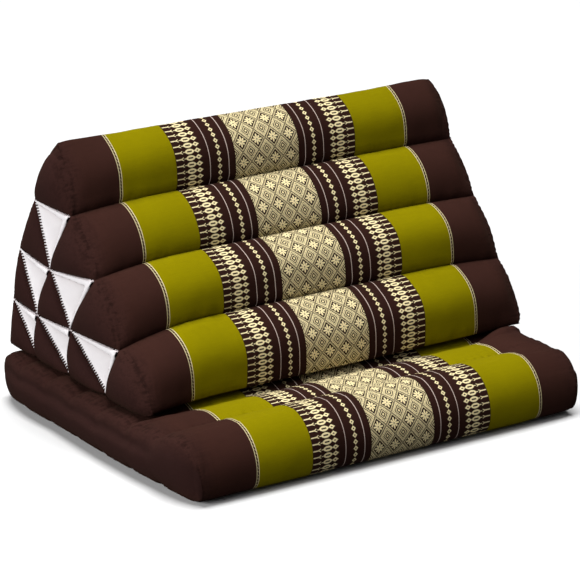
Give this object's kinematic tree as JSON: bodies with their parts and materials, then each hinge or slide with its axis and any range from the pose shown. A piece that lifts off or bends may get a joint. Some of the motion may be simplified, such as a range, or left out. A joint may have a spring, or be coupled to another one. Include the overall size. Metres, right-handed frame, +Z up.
{
  "type": "thai triangle cushion",
  "caption": "Stuffed triangle-shaped back cushion of stacked cloth tubes, standing on its own seat mat folded flat underneath it.",
  "frame": {"origin": "centre of the bounding box's underside, on the surface that the mat lies on", "axes": "+X along the tubes, the longest way; -Y towards the front, where the mat shows; +Z up"},
  "size_m": [0.5376, 0.4094, 0.3174],
  "materials": {
    "cover": "woven cotton, matt dark brown with green and patterned bands",
    "mat_cover": "woven cotton, matt dark brown with green and patterned bands",
    "panel": "plain white cotton, matt"
  },
  "bodies": {
    "root": {"triangle_cushion": "cover", "seat_mat": "mat_cover", "end_panel_left_1": "panel", "end_panel_left_2": "panel", "end_panel_left_3": "panel", "end_panel_left_4": "panel", "end_panel_left_5": "panel", "end_panel_left_6": "panel", "end_panel_right_1": "panel", "end_panel_right_2": "panel", "end_panel_right_3": "panel", "end_panel_right_4": "panel", "end_panel_right_5": "panel", "end_panel_right_6": "panel"}
  },
  "joints": []
}
